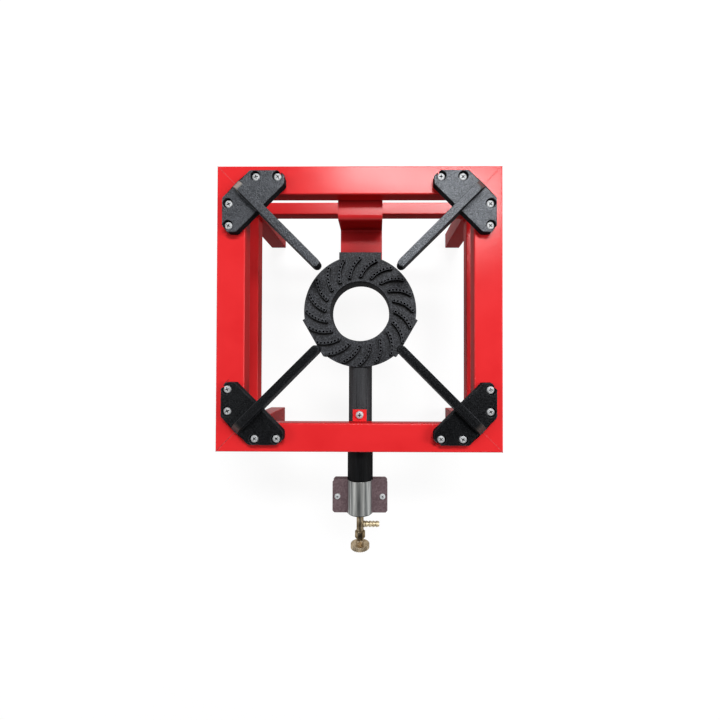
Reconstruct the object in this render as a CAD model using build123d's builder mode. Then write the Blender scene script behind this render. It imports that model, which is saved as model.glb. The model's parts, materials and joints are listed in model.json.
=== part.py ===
from build123d import *
import os
from math import atan, cos, degrees, pi, radians, sin, sqrt

os.makedirs("parts", exist_ok=True)

# Single burner gas stove: a welded tube stand, a cast-iron ring burner hung inside it,
# four bolted pot supports, and a brass needle valve on the front of the mixing tube.
# +Z is up and -Y is the front. The feet stand on Z = 0, midway along the whole length.

# Stand
stand_side = 400.0
stand_height = 250.0
rail_width = 40.0
rail_depth = 20.0
rail_wall = 2.0
rail_corner = 1.2
leg_side = 30.0
leg_wall = 2.0
leg_corner = 1.0
lower_rail_side = 20.0
lower_rail_top = 153.0
plug_length = 22.0
plug_proud = 1.0
plug_clearance = 0.1
plug_chamfer = 1.0

# Pot supports
plate_inset = 12.0
plate_thickness = 11.0
plate_cut = 50.0
plate_reach = 97.5
plate_shoulder_run = 9.5
plate_shoulder_drop = 7.5
plate_inner = 31.0
plate_corner = 1.5
arm_height = 22.0
arm_base_width = 13.0
arm_draft = 2.6
arm_tip_radius = 75.5
arm_tip_rise = 4.0
arm_ramp = 11.0
support_screw_margin = 10.0
support_screw_pitch = 30.0
support_recess_diameter = 13.5
support_recess_depth = 7.0

# Screws. They and their holes repeat many times, so they are drawn with few sides.
head_sides = 12
shank_sides = 8
screw_diameter = 6.0
screw_head_diameter = 11.0
screw_head_height = 4.2
screw_head_draft = 12.0
screw_grip = 6.0
screw_hole_clearance = 0.3
thread_clearance = 0.05

# Burner
burner_diameter = 165.0
burner_bore = 87.5
burner_height = 35.0
burner_wall = 4.5
burner_floor = 5.0
cap_thickness = 6.0
cap_clearance = 0.3
lug_width = 62.0
lug_back_step = 4.5
lug_front_flat = 2.5
rib_count = 20
rib_width = 5.4
rib_height = 4.5
rib_inner_margin = 5.5
rib_outer_margin = 3.7
rib_middle_turn = 7.8
rib_outer_turn = 19.0
rib_runs = 4
rib_end_chamfer = 1.5
port_count = 7
port_diameter = 2.4
port_sides = 4
port_end_margin = 0.08

# Mixing tube
tube_diameter = 35.0
tube_bore = 22.0
tube_rise = 16.5
tube_overhang = 101.0
mouth_diameter = 38.0
mouth_length = 115.0
tube_end_wall = 6.0
air_window_width = 20.0
air_window_length = 28.0
air_window_margin = 4.0
boss_diameter = 20.0
boss_hole_depth = 9.0

# Burner bracket and front tab
bracket_width = 65.0
bracket_thickness = 4.0
bracket_drop = 40.0
bracket_reach = 27.0
bracket_under_rail = 32.0
bracket_under_burner = 15.0
bracket_bend = 3.0
tab_width = 20.0
tab_thickness = 4.0
tab_reach = 16.5
tab_under_rail = 30.0
tab_screw_inset = 7.5

# Air shutter
shutter_length = 49.0
shutter_setback = 2.0
shutter_sheet = 1.2
shutter_clearance = 0.3
shutter_ear_gap = 12.0
shutter_span = 82.0
shutter_ear_corner = 3.0
shutter_screw_spacing = 67.0
shutter_screw_diameter = 4.0
shutter_screw_head = 8.5
shutter_screw_head_height = 3.0
shutter_screw_tail = 2.0
shutter_nut_flats = 7.0
shutter_nut_height = 3.2

# Gas valve
valve_tail_inside = 4.0
valve_diameter = 10.6
valve_length = 28.0
valve_passage = 2.4
valve_seat = 12.0
valve_port = 18.0
neck_diameter = 9.0
neck_length = 5.0
gland_flats = 13.4
gland_length = 11.0
gland_chamfer = 1.0
seal_width = 1.6
seal_depth = 0.9
spindle_diameter = 5.0
spindle_fit = 0.08
needle_entry = 1.6
needle_diameter = 3.2
needle_tip_length = 2.5
needle_length = 8.0
knob_diameter = 28.3
knob_thickness = 6.5
knob_flutes = 28
knob_flute_depth = 0.9
knob_hub_diameter = 11.0
knob_hub_length = 5.5
knob_gap = 2.5
barb_reach = 29.0
barb_bore = 3.6
barb_spigot_diameter = 6.0
barb_collar_diameter = 9.0
barb_collar_length = 3.0
barb_neck_diameter = 7.0
barb_ridge_diameter = 9.0
barb_ridges = 4
barb_sides = 12
jet_flats = 8.0
jet_length = 12.0
jet_orifice = 1.0
jet_spigot = 4.0

# Places that follow from the sizes above
half_side = stand_side / 2
tube_front = half_side + tube_overhang
knob_front = tube_front + valve_length + gland_length + knob_gap + knob_hub_length + knob_thickness
stand_y = (knob_front - half_side) / 2
rail_underside = stand_height - rail_depth
burner_base = rail_underside - bracket_drop
cap_seat = burner_base + burner_height - cap_thickness
burner_top = burner_base + burner_height
tube_axis = burner_base + tube_rise
rail_inner = half_side - rail_width
leg_centre = half_side - leg_side / 2
plate_shoulder = plate_reach - plate_shoulder_run
support_screw_last = plate_reach - support_screw_margin
lug_reach_back = burner_diameter / 2 + lug_back_step
lug_reach_front = burner_diameter / 2 - lug_front_flat
rib_inner_radius = burner_bore / 2 + rib_inner_margin
rib_outer_radius = burner_diameter / 2 - rib_outer_margin
rib_middle_radius = (rib_inner_radius + rib_outer_radius) / 2
lower_rail_span = stand_side - 2 * leg_side
shutter_middle = tube_front - shutter_setback - shutter_length / 2
shutter_bore_radius = mouth_diameter / 2 + shutter_clearance
tab_screw = rail_inner - tab_reach + tab_screw_inset
tab_underside = rail_underside - tab_thickness


def ahead(distance):
    """Y of a point that lies this far in front of the middle of the stand."""
    return stand_y - distance


# The burner's own plane, and the plane in which pieces along the gas line are turned:
# there x runs forward from the end of the mixing tube and y is the radius.
burner_plane = Plane((0, stand_y, burner_base))
gas_line = Plane((0, ahead(tube_front), tube_axis), x_dir=(0, -1, 0), z_dir=(-1, 0, 0))
gas_axis = Axis((0, ahead(tube_front), tube_axis), (0, -1, 0))
gas_end = Plane((0, ahead(tube_front), tube_axis), x_dir=(1, 0, 0), z_dir=(0, -1, 0))
tube_line = Plane((0, stand_y, tube_axis), x_dir=(0, -1, 0), z_dir=(-1, 0, 0))

# The four corners of the stand: name, signs of x and y, and the direction of the first rail.
# In each corner plane both rails run along +x and +y from the outer corner.
corners = [
    ("front_left", -1, -1, (1, 0, 0)),
    ("front_right", 1, -1, (0, 1, 0)),
    ("back_right", 1, 1, (-1, 0, 0)),
    ("back_left", -1, 1, (0, -1, 0)),
]


def corner_plane(x_sign, y_sign, along, height):
    return Plane((x_sign * half_side, stand_y + y_sign * half_side, height), x_dir=along)


# Places of the four screws of one pot support, in its corner plane
screw_steps = [support_screw_last - support_screw_pitch, support_screw_last]
support_screw_places = [(step, rail_width / 2) for step in screw_steps]
support_screw_places += [(rail_width / 2, step) for step in screw_steps]


# Top rails: rectangular tube, mitred at 45 degrees where the four meet
rail_names = ["front", "right", "back", "left"]
for rail_name, (corner_name, x_sign, y_sign, along) in zip(rail_names, corners):
    rail_plane = corner_plane(x_sign, y_sign, along, rail_underside)
    section_plane = Plane(
        rail_plane.from_local_coords((0, rail_width / 2, rail_depth / 2)),
        x_dir=rail_plane.y_dir,
        z_dir=rail_plane.x_dir,
    )
    with BuildPart() as top_rail:
        with BuildSketch(section_plane) as rail_section:
            Rectangle(rail_width, rail_depth)
            chamfer(rail_section.vertices(), length=rail_corner)
            Rectangle(
                rail_width - 2 * rail_wall, rail_depth - 2 * rail_wall, mode=Mode.SUBTRACT
            )
        extrude(amount=stand_side)
        with BuildSketch(rail_plane):
            Polygon(
                (0, 0),
                (stand_side, 0),
                (stand_side - rail_width, rail_width),
                (rail_width, rail_width),
                align=None,
            )
        extrude(amount=rail_depth, mode=Mode.INTERSECT)
        with BuildSketch(rail_plane.offset(rail_depth)):
            with Locations(*[(step, rail_width / 2) for step in screw_steps]):
                RegularPolygon(screw_diameter / 2 + thread_clearance, shank_sides)
            with Locations(*[(stand_side - step, rail_width / 2) for step in screw_steps]):
                RegularPolygon(screw_diameter / 2 + thread_clearance, shank_sides)
        extrude(amount=-rail_depth / 2, mode=Mode.SUBTRACT)
    top_rail.part.label = "top_rail_" + rail_name
    export_step(top_rail.part, "parts/top_rail_" + rail_name + ".step")


# Legs and their foot plugs: square tube under each corner, closed by a plastic plug
def square_tube(side):
    with BuildSketch(mode=Mode.PRIVATE) as section:
        Rectangle(side, side)
        chamfer(section.vertices(), length=leg_corner)
        Rectangle(side - 2 * leg_wall, side - 2 * leg_wall, mode=Mode.SUBTRACT)
    return section.sketch


for corner_name, x_sign, y_sign, along in corners:
    foot_plane = Plane((x_sign * leg_centre, stand_y + y_sign * leg_centre, 0))
    with BuildPart() as leg:
        with BuildSketch(foot_plane.offset(plug_proud)):
            add(square_tube(leg_side))
        extrude(amount=rail_underside - plug_proud)
    leg.part.label = "leg_" + corner_name
    export_step(leg.part, "parts/leg_" + corner_name + ".step")

    plug_side = leg_side - 2 * (leg_wall + plug_clearance)
    with BuildPart() as foot_plug:
        with BuildSketch(foot_plane):
            Rectangle(plug_side, plug_side)
        extrude(amount=plug_length)
        chamfer(foot_plug.faces().sort_by(Axis.Z)[-1].edges(), length=plug_chamfer)
    foot_plug.part.label = "foot_plug_" + corner_name
    export_step(foot_plug.part, "parts/foot_plug_" + corner_name + ".step")


# Lower rails: lighter square tube, welded between the legs on the left, right and back
lower_rail_places = [
    ("left", (-leg_centre, stand_y - lower_rail_span / 2), (0, 1, 0)),
    ("right", (leg_centre, stand_y - lower_rail_span / 2), (0, 1, 0)),
    ("back", (-lower_rail_span / 2, stand_y + leg_centre), (1, 0, 0)),
]
for side_name, (start_x, start_y), run in lower_rail_places:
    end_plane = Plane(
        (start_x, start_y, lower_rail_top - lower_rail_side / 2), x_dir=(0, 0, 1), z_dir=run
    )
    with BuildPart() as lower_rail:
        with BuildSketch(end_plane):
            add(square_tube(lower_rail_side))
        extrude(amount=lower_rail_span)
    lower_rail.part.label = "lower_rail_" + side_name
    export_step(lower_rail.part, "parts/lower_rail_" + side_name + ".step")


# Burner bracket: flat bar bent twice, welded under the back rail, carrying the burner's back lug
side_plane = Plane((0, stand_y, 0), x_dir=(0, 1, 0), z_dir=(1, 0, 0))
step_y = rail_inner - bracket_reach
bracket_back = rail_inner + bracket_under_rail
bracket_front = lug_reach_back - bracket_under_burner
outer_bend = bracket_bend + bracket_thickness
with BuildPart() as burner_bracket:
    with BuildSketch(side_plane):
        with BuildLine():
            upper = FilletPolyline(
                (bracket_back, rail_underside),
                (step_y, rail_underside),
                (step_y, burner_base),
                (bracket_front, burner_base),
                radius=[outer_bend, bracket_bend],
            )
            lower = FilletPolyline(
                (bracket_back, rail_underside - bracket_thickness),
                (step_y + bracket_thickness, rail_underside - bracket_thickness),
                (step_y + bracket_thickness, burner_base - bracket_thickness),
                (bracket_front, burner_base - bracket_thickness),
                radius=[bracket_bend, outer_bend],
            )
            Line(upper @ 0, lower @ 0)
            Line(upper @ 1, lower @ 1)
        make_face()
    extrude(amount=bracket_width / 2, both=True)
burner_bracket.part.label = "burner_bracket"
export_step(burner_bracket.part, "parts/burner_bracket.step")


# Front tab: short flat bar welded under the front rail, screwed to the mixing tube's boss
tab_length = tab_under_rail + tab_reach
with BuildPart() as burner_tab:
    with BuildSketch(Plane((0, ahead(rail_inner - tab_reach), tab_underside))):
        Rectangle(tab_width, tab_length, align=(Align.CENTER, Align.MAX))
    extrude(amount=tab_thickness)
    with BuildSketch(Plane((0, ahead(tab_screw), tab_underside))):
        RegularPolygon(screw_diameter / 2 + screw_hole_clearance, shank_sides)
    extrude(amount=tab_thickness, mode=Mode.SUBTRACT)
burner_tab.part.label = "burner_tab"
export_step(burner_tab.part, "parts/burner_tab.step")


# Pot supports: cast corner plates, each with a drafted arm along the diagonal
outer_diagonal = (plate_cut + plate_inset) / sqrt(2)
inner_diagonal = (plate_reach + plate_inner) / sqrt(2)
arm_end = half_side * sqrt(2) - arm_tip_radius
for corner_name, x_sign, y_sign, along in corners:
    plate_plane = corner_plane(x_sign, y_sign, along, stand_height)
    arm_plane = plate_plane.rotated((0, 0, 45))
    arm_side = Plane(arm_plane.origin, x_dir=arm_plane.x_dir, z_dir=-arm_plane.y_dir)
    with BuildPart() as pot_support:
        with BuildSketch(plate_plane):
            Polygon(
                (plate_cut, plate_inset),
                (plate_shoulder, plate_inset),
                (plate_reach, plate_inset + plate_shoulder_drop),
                (plate_reach, plate_inner),
                (plate_inner, plate_reach),
                (plate_inset + plate_shoulder_drop, plate_reach),
                (plate_inset, plate_shoulder),
                (plate_inset, plate_cut),
                align=None,
            )
        extrude(amount=plate_thickness)
        chamfer(pot_support.edges().filter_by(Axis.Z), length=plate_corner)
        with BuildSketch(arm_plane):
            with Locations((outer_diagonal, 0)):
                Rectangle(
                    arm_end - arm_base_width / 2 - outer_diagonal,
                    arm_base_width,
                    align=(Align.MIN, Align.CENTER),
                )
            with Locations((arm_end - arm_base_width / 2, 0)):
                RegularPolygon(arm_base_width / 2, head_sides)
        extrude(amount=arm_height, taper=arm_draft)
        with BuildSketch(arm_side):
            Polygon(
                (outer_diagonal - arm_ramp, arm_height),
                (outer_diagonal - arm_ramp, plate_thickness),
                (outer_diagonal, plate_thickness),
                (outer_diagonal + arm_ramp, arm_height),
                align=None,
            )
            Polygon((inner_diagonal, 0), (arm_end, 0), (arm_end, arm_tip_rise), align=None)
        extrude(amount=arm_base_width, both=True, mode=Mode.SUBTRACT)
        with BuildSketch(plate_plane.offset(plate_thickness)):
            with Locations(*support_screw_places):
                RegularPolygon(support_recess_diameter / 2, head_sides)
        extrude(amount=-support_recess_depth, mode=Mode.SUBTRACT)
        with BuildSketch(plate_plane):
            with Locations(*support_screw_places):
                RegularPolygon(screw_diameter / 2 + screw_hole_clearance, shank_sides)
        extrude(amount=plate_thickness, mode=Mode.SUBTRACT)
    pot_support.part.label = "pot_support_" + corner_name
    export_step(pot_support.part, "parts/pot_support_" + corner_name + ".step")


# Pan-head screw, seated under its head: made once and set in each place
def pan_screw(diameter, head_diameter, head_height, shank):
    with BuildPart() as screw:
        with BuildSketch():
            RegularPolygon(head_diameter / 2, head_sides)
        extrude(amount=head_height, taper=screw_head_draft)
        with BuildSketch():
            RegularPolygon(diameter / 2, shank_sides)
        extrude(amount=-shank)
    return screw.part


support_screw_shank = plate_thickness - support_recess_depth + screw_grip
support_screw = pan_screw(
    screw_diameter,
    screw_head_diameter,
    screw_head_height,
    support_screw_shank,
)
screw_seat = stand_height + plate_thickness - support_recess_depth
with BuildPart() as pot_support_screws:
    for corner_name, x_sign, y_sign, along in corners:
        with Locations(corner_plane(x_sign, y_sign, along, screw_seat)):
            with Locations(*support_screw_places):
                add(support_screw)
pot_support_screws.part.label = "pot_support_screws"
export_step(pot_support_screws.part, "parts/pot_support_screws.step")

tab_screw_body = pan_screw(
    screw_diameter,
    screw_head_diameter,
    screw_head_height,
    tab_thickness + screw_grip,
)
with BuildPart() as burner_tab_screw:
    with Locations((0, ahead(tab_screw), rail_underside)):
        add(tab_screw_body)
burner_tab_screw.part.label = "burner_tab_screw"
export_step(burner_tab_screw.part, "parts/burner_tab_screw.step")


# Outline shared by the burner body and its cap: a ring with three flat-faced lugs
lugs = [(90, lug_reach_back), (210, lug_reach_front), (330, lug_reach_front)]
with BuildSketch() as burner_outline:
    Circle(burner_diameter / 2)
    for lug_angle, lug_reach in lugs:
        with PolarLocations(0, 1, start_angle=lug_angle):
            Rectangle(lug_reach, lug_width, align=(Align.MIN, Align.CENTER))
        with PolarLocations(lug_reach, 1, start_angle=lug_angle):
            Rectangle(
                burner_wall, lug_width, align=(Align.MIN, Align.CENTER), mode=Mode.SUBTRACT
            )
    Circle(burner_bore / 2, mode=Mode.SUBTRACT)

channel_outer = burner_diameter / 2 - burner_wall
channel_inner = burner_bore / 2 + burner_wall


# Burner body: cast trough with the mixing tube, its boss, its air windows and its end wall
mouth_start = tube_front - mouth_length
boss_top = tab_underside
window_start = tube_front - tube_end_wall - air_window_margin
with BuildPart() as burner_body:
    with BuildSketch(burner_plane):
        add(burner_outline.sketch)
    extrude(amount=burner_height - cap_thickness)
    with BuildSketch(tube_line):
        Polygon(
            (channel_outer, 0),
            (tube_front, 0),
            (tube_front, mouth_diameter / 2),
            (mouth_start, mouth_diameter / 2),
            (mouth_start, tube_diameter / 2),
            (channel_outer, tube_diameter / 2),
            align=None,
        )
    revolve(axis=Axis(tube_line.origin, tube_line.x_dir))
    with BuildSketch(Plane((0, ahead(tab_screw), tube_axis))):
        Circle(boss_diameter / 2)
    extrude(amount=boss_top - tube_axis)
    with BuildSketch(Plane((0, stand_y, cap_seat))):
        Circle(burner_diameter / 2 + cap_clearance)
    extrude(amount=burner_height, mode=Mode.SUBTRACT)
    with BuildSketch(burner_plane.offset(burner_floor)):
        Circle(channel_outer)
        Circle(channel_inner, mode=Mode.SUBTRACT)
    extrude(amount=burner_height, mode=Mode.SUBTRACT)
    with BuildSketch(gas_end.offset(-tube_end_wall)):
        Circle(tube_bore / 2)
    extrude(amount=-(tube_front - tube_end_wall - channel_inner), mode=Mode.SUBTRACT)
    with BuildSketch(gas_end):
        Circle(valve_diameter / 2 + thread_clearance)
    extrude(amount=-tube_end_wall, mode=Mode.SUBTRACT)
    with BuildSketch(Plane((0, ahead(window_start), tube_axis))):
        Rectangle(air_window_width, air_window_length, align=(Align.CENTER, Align.MIN))
    extrude(amount=mouth_diameter, both=True, mode=Mode.SUBTRACT)
    with BuildSketch(Plane((0, ahead(tab_screw), boss_top))):
        RegularPolygon(screw_diameter / 2 + thread_clearance, shank_sides)
    extrude(amount=-boss_hole_depth, mode=Mode.SUBTRACT)
burner_body.part.label = "burner_body"
export_step(burner_body.part, "parts/burner_body.step")


# Burner cap: ring plate with curved ribs, and a row of gas ports drilled along each rib
def rib_point(radius, turn):
    return (radius * cos(radians(turn)), -radius * sin(radians(turn)))


with BuildLine(mode=Mode.PRIVATE) as rib_line:
    ThreePointArc(
        rib_point(rib_inner_radius, 0),
        rib_point(rib_middle_radius, rib_middle_turn),
        rib_point(rib_outer_radius, rib_outer_turn),
    )


def rib_side(side):
    """Points along one side of a rib, half its width off the middle line."""
    line = rib_line.line
    shares = [k / rib_runs for k in range(rib_runs + 1)]
    return [line @ t + (line % t).rotate(Axis.Z, 90) * (side * rib_width / 2) for t in shares]


with BuildSketch() as rib_outline:
    Polygon(*rib_side(1), *reversed(rib_side(-1)), align=None)
    rib_corners = rib_outline.vertices().sort_by_distance((0, 0, 0))
    chamfer(rib_corners[:2] + rib_corners[-2:], length=rib_end_chamfer)

port_step = (1 - 2 * port_end_margin) / (port_count - 1)
port_places = [rib_line.line @ (port_end_margin + k * port_step) for k in range(port_count)]
port_depth = cap_thickness + rib_height
with BuildPart() as burner_cap:
    with BuildSketch(Plane((0, stand_y, cap_seat))):
        add(burner_outline.sketch)
    extrude(amount=cap_thickness)
    with BuildSketch(Plane((0, stand_y, burner_top))):
        with PolarLocations(0, rib_count):
            add(rib_outline.sketch)
    extrude(amount=rib_height)
    with BuildSketch(Plane((0, stand_y, burner_top + rib_height))):
        with PolarLocations(0, rib_count):
            with Locations(*port_places):
                RegularPolygon(port_diameter / 2, port_sides)
    extrude(amount=-port_depth, mode=Mode.SUBTRACT)
burner_cap.part.label = "burner_cap"
export_step(burner_cap.part, "parts/burner_cap.step")


# Air shutter: two sheet half shells round the mouth of the tube, clamped ear to ear
shutter_front = Plane(
    (0, ahead(shutter_middle + shutter_length / 2), tube_axis), x_dir=(1, 0, 0), z_dir=(0, -1, 0)
)
ear_height = shutter_ear_gap / 2
shell_outer = shutter_bore_radius + shutter_sheet
for shell_name, side in (("upper", 1), ("lower", -1)):
    with BuildPart() as air_shutter:
        with BuildSketch(shutter_front):
            Circle(shell_outer)
            with Locations((0, side * ear_height)):
                Rectangle(
                    2 * shell_outer,
                    2 * shell_outer,
                    align=(Align.CENTER, Align.MAX if side > 0 else Align.MIN),
                    mode=Mode.SUBTRACT,
                )
                Rectangle(
                    shutter_span,
                    shutter_sheet,
                    align=(Align.CENTER, Align.MIN if side > 0 else Align.MAX),
                )
            Circle(shutter_bore_radius, mode=Mode.SUBTRACT)
        extrude(amount=-shutter_length)
        ear_ends = air_shutter.edges().filter_by(Axis.Z)
        outer_ends = ear_ends.group_by(Axis.X)[0] + ear_ends.group_by(Axis.X)[-1]
        chamfer(outer_ends, length=shutter_ear_corner)
        with BuildSketch(Plane((0, ahead(shutter_middle), tube_axis))):
            with GridLocations(shutter_screw_spacing, 0, 2, 1):
                RegularPolygon(shutter_screw_diameter / 2 + screw_hole_clearance, shank_sides)
        extrude(amount=side * shell_outer, mode=Mode.SUBTRACT)
    air_shutter.part.label = "air_shutter_" + shell_name
    export_step(air_shutter.part, "parts/air_shutter_" + shell_name + ".step")

ear_top = tube_axis + ear_height + shutter_sheet
ear_bottom = tube_axis - ear_height - shutter_sheet
shutter_shank = ear_top - ear_bottom + shutter_nut_height + shutter_screw_tail
shutter_screw = pan_screw(
    shutter_screw_diameter,
    shutter_screw_head,
    shutter_screw_head_height,
    shutter_shank,
)
with BuildPart() as air_shutter_screws:
    with Locations((0, ahead(shutter_middle), ear_top)):
        with GridLocations(shutter_screw_spacing, 0, 2, 1):
            add(shutter_screw)
air_shutter_screws.part.label = "air_shutter_screws"
export_step(air_shutter_screws.part, "parts/air_shutter_screws.step")

with BuildPart() as air_shutter_nuts:
    with BuildSketch(Plane((0, ahead(shutter_middle), ear_bottom))):
        with GridLocations(shutter_screw_spacing, 0, 2, 1):
            RegularPolygon(shutter_nut_flats / 2, 6, major_radius=False)
            RegularPolygon(
                shutter_screw_diameter / 2 + thread_clearance, shank_sides, mode=Mode.SUBTRACT
            )
    extrude(amount=-shutter_nut_height)
air_shutter_nuts.part.label = "air_shutter_nuts"
export_step(air_shutter_nuts.part, "parts/air_shutter_nuts.step")


# Valve body: turned brass barrel screwed into the tube's end wall, with a seat and a side port
tail = tube_end_wall + valve_tail_inside
chamber_radius = spindle_diameter / 2 + spindle_fit
neck_end = valve_length + neck_length
with BuildPart() as valve_body:
    with BuildSketch(gas_line):
        Polygon(
            (-tail, valve_passage / 2),
            (-tail, valve_diameter / 2),
            (valve_length, valve_diameter / 2),
            (valve_length, neck_diameter / 2),
            (neck_end, neck_diameter / 2),
            (neck_end, chamber_radius),
            (valve_seat, chamber_radius),
            (valve_seat, valve_passage / 2),
            align=None,
        )
    revolve(axis=gas_axis)
    with BuildSketch(Plane((0, ahead(tube_front + valve_port), tube_axis), z_dir=(1, 0, 0))):
        Circle(barb_spigot_diameter / 2 + thread_clearance)
    extrude(amount=valve_diameter, mode=Mode.SUBTRACT)
valve_body.part.label = "valve_body"
export_step(valve_body.part, "parts/valve_body.step")


# Hose barb: nipple screwed into the valve's side, with sharp-backed ridges
barb_plane = Plane((0, ahead(tube_front + valve_port), tube_axis), z_dir=(1, 0, 0))
barb_start = valve_diameter / 2 + barb_collar_length
barb_pitch = (barb_reach - barb_start) / barb_ridges
barb_draft = degrees(atan((barb_ridge_diameter - barb_neck_diameter) / 2 / barb_pitch))
barb_feet = [(0, 0, barb_start + k * barb_pitch) for k in range(barb_ridges)]
with BuildPart() as barb_ridge:
    with BuildSketch():
        RegularPolygon(barb_ridge_diameter / 2, barb_sides)
    extrude(amount=barb_pitch, taper=barb_draft)

with BuildPart() as hose_barb:
    with BuildSketch(barb_plane.offset(chamber_radius)):
        Circle(barb_spigot_diameter / 2)
    extrude(amount=valve_diameter / 2 - chamber_radius)
    with BuildSketch(barb_plane.offset(valve_diameter / 2)):
        RegularPolygon(barb_collar_diameter / 2, barb_sides)
    extrude(amount=barb_collar_length)
    with Locations(barb_plane):
        with Locations(*barb_feet):
            add(barb_ridge.part)
    with BuildSketch(barb_plane):
        Circle(barb_bore / 2)
    extrude(amount=barb_reach, mode=Mode.SUBTRACT)
hose_barb.part.label = "hose_barb"
export_step(hose_barb.part, "parts/hose_barb.step")


# Gas jet: hexagonal brass nozzle plugged into the valve's tail, blowing along the mixing tube
jet_seat = gas_end.offset(-tail)
with BuildPart() as gas_jet:
    with BuildSketch(jet_seat):
        RegularPolygon(jet_flats / 2, 6, major_radius=False)
    extrude(amount=-jet_length)
    with BuildSketch(jet_seat):
        Circle(valve_passage / 2 - thread_clearance)
    extrude(amount=jet_spigot)
    with BuildSketch(jet_seat.offset(-jet_length)):
        Circle(jet_orifice / 2)
    extrude(amount=jet_length + jet_spigot, mode=Mode.SUBTRACT)
gas_jet.part.label = "gas_jet"
export_step(gas_jet.part, "parts/gas_jet.step")


# Gland nut: hexagonal nut that closes the valve body over the spindle
gland_end = valve_length + gland_length
gland_seat = gas_end.offset(valve_length)
with BuildPart() as gland_nut:
    with BuildSketch(gland_seat):
        RegularPolygon(gland_flats / 2, 6, major_radius=False)
    extrude(amount=gland_length)
    chamfer(gland_nut.faces().sort_by(Axis.Y)[0].edges(), length=gland_chamfer)
    with BuildSketch(gland_seat):
        Circle(neck_diameter / 2 + thread_clearance)
    extrude(amount=neck_length, mode=Mode.SUBTRACT)
    with BuildSketch(gland_seat):
        Circle(chamber_radius)
    extrude(amount=gland_length, mode=Mode.SUBTRACT)
gland_nut.part.label = "gland_nut"
export_step(gland_nut.part, "parts/gland_nut.step")


# Spindle: needle at the seat, a groove for the seal, and a stem riveted into the knob
spindle_radius = spindle_diameter / 2
needle_point = valve_seat - needle_entry
groove_middle = (neck_end + gland_end) / 2
groove_half = seal_width / 2 + spindle_fit
groove_radius = spindle_radius - seal_depth
knob_back = gland_end + knob_gap
knob_face = knob_back + knob_hub_length
knob_end = knob_face + knob_thickness
knob_flute_width = pi * knob_diameter / knob_flutes
with BuildPart() as valve_spindle:
    with BuildSketch(gas_line):
        Polygon(
            (needle_point, 0),
            (needle_point + needle_tip_length, needle_diameter / 2),
            (valve_seat + needle_length, needle_diameter / 2),
            (valve_seat + needle_length, spindle_radius),
            (groove_middle - groove_half, spindle_radius),
            (groove_middle - groove_half, groove_radius),
            (groove_middle + groove_half, groove_radius),
            (groove_middle + groove_half, spindle_radius),
            (knob_end, spindle_radius),
            (knob_end, 0),
            align=None,
        )
    revolve(axis=gas_axis)
valve_spindle.part.label = "valve_spindle"
export_step(valve_spindle.part, "parts/valve_spindle.step")


# Spindle seal: rubber ring in the spindle's groove, which slides in the gland's bore
with BuildPart() as spindle_seal:
    with BuildSketch(gas_end.offset(groove_middle)):
        Circle(spindle_radius)
        Circle(groove_radius + spindle_fit, mode=Mode.SUBTRACT)
    extrude(amount=seal_width / 2, both=True)
spindle_seal.part.label = "spindle_seal"
export_step(spindle_seal.part, "parts/spindle_seal.step")


# Knob: brass disc with a knurled rim, on a hub
with BuildPart() as knob:
    with BuildSketch(gas_line):
        Polygon(
            (knob_back, spindle_radius + thread_clearance),
            (knob_back, knob_hub_diameter / 2),
            (knob_face, knob_hub_diameter / 2),
            (knob_face, knob_diameter / 2),
            (knob_end, knob_diameter / 2),
            (knob_end, spindle_radius + thread_clearance),
            align=None,
        )
    revolve(axis=gas_axis)
    with BuildSketch(gas_end.offset(knob_face)):
        with PolarLocations(knob_diameter / 2, knob_flutes):
            Polygon(
                (-knob_flute_depth, 0),
                (knob_flute_depth, knob_flute_width),
                (knob_flute_depth, -knob_flute_width),
                align=None,
            )
    extrude(amount=knob_thickness, mode=Mode.SUBTRACT)
knob.part.label = "knob"
export_step(knob.part, "parts/knob.step")
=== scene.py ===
import json
import math
import random

import bmesh
import bpy
from mathutils import Matrix, Vector

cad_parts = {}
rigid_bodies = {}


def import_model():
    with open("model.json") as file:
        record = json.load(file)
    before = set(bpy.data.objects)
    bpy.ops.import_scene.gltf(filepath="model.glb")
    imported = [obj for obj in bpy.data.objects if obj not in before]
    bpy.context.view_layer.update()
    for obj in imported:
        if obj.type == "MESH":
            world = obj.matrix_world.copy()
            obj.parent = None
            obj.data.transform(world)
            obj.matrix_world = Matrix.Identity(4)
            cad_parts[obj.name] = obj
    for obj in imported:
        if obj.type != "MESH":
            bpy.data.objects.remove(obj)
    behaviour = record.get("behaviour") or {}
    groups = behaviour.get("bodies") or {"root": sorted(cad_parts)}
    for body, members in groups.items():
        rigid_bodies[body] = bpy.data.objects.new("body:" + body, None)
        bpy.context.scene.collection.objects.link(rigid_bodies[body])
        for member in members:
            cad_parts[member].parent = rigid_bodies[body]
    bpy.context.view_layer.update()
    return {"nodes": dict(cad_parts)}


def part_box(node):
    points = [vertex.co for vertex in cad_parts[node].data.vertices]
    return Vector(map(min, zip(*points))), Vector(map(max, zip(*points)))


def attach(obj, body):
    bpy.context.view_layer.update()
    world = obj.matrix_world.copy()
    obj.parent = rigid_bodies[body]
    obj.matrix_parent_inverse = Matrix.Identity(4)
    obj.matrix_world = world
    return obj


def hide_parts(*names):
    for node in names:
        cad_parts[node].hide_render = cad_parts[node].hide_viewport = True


for leftover in list(bpy.data.objects):
    bpy.data.objects.remove(leftover)

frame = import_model()
cad_nodes = frame["nodes"]

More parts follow.
